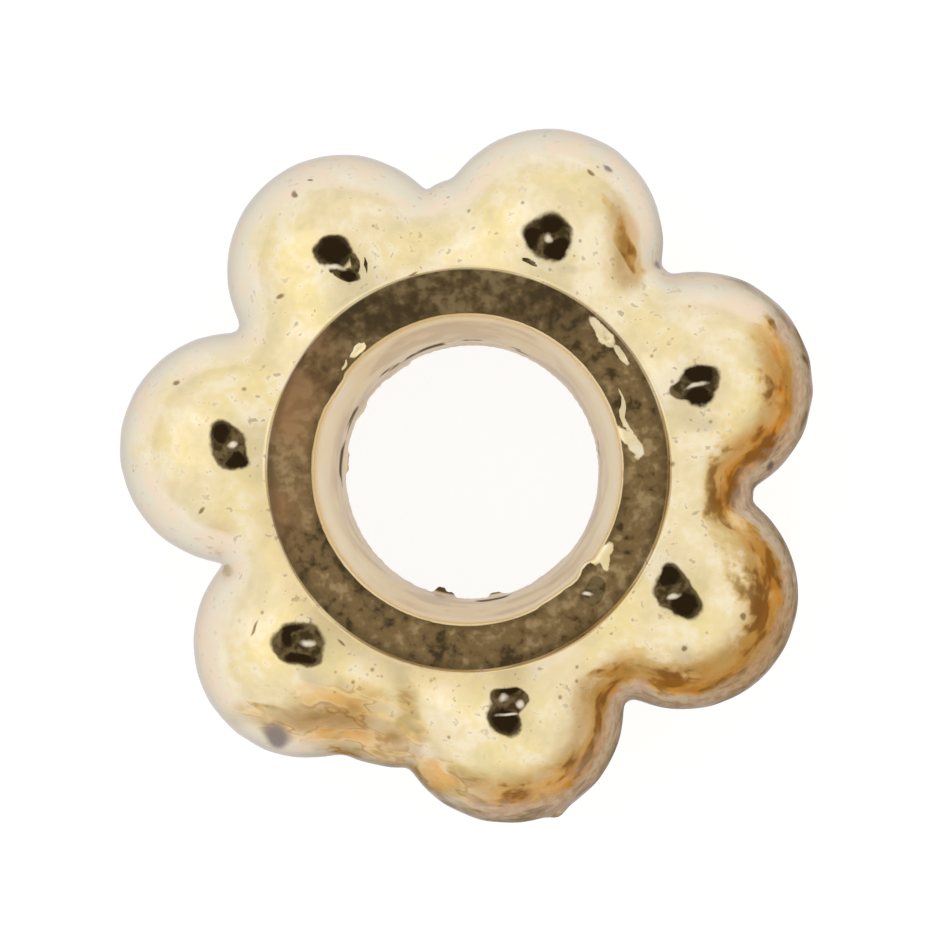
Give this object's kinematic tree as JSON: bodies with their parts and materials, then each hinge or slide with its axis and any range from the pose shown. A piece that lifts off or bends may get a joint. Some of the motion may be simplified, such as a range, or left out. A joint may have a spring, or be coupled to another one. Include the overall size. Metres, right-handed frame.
{
  "type": "daisy spacer bead",
  "caption": "Flower-shaped metal spacer bead: ball petals round a flat-rimmed ring, with a flared thread hole through the middle.",
  "frame": {"origin": "middle of the thread hole, halfway between the two flat rims", "axes": "+Z along the thread hole, +X through the middle of the first petal"},
  "size_m": [0.0078, 0.0081, 0.0028],
  "materials": {
    "antique_gold": "pale gold plating over cast zinc alloy, polished, with amber tarnish in the hollows and dark antiquing on the flat rims"
  },
  "bodies": {
    "root": {"daisy_spacer": "antique_gold"}
  },
  "joints": []
}
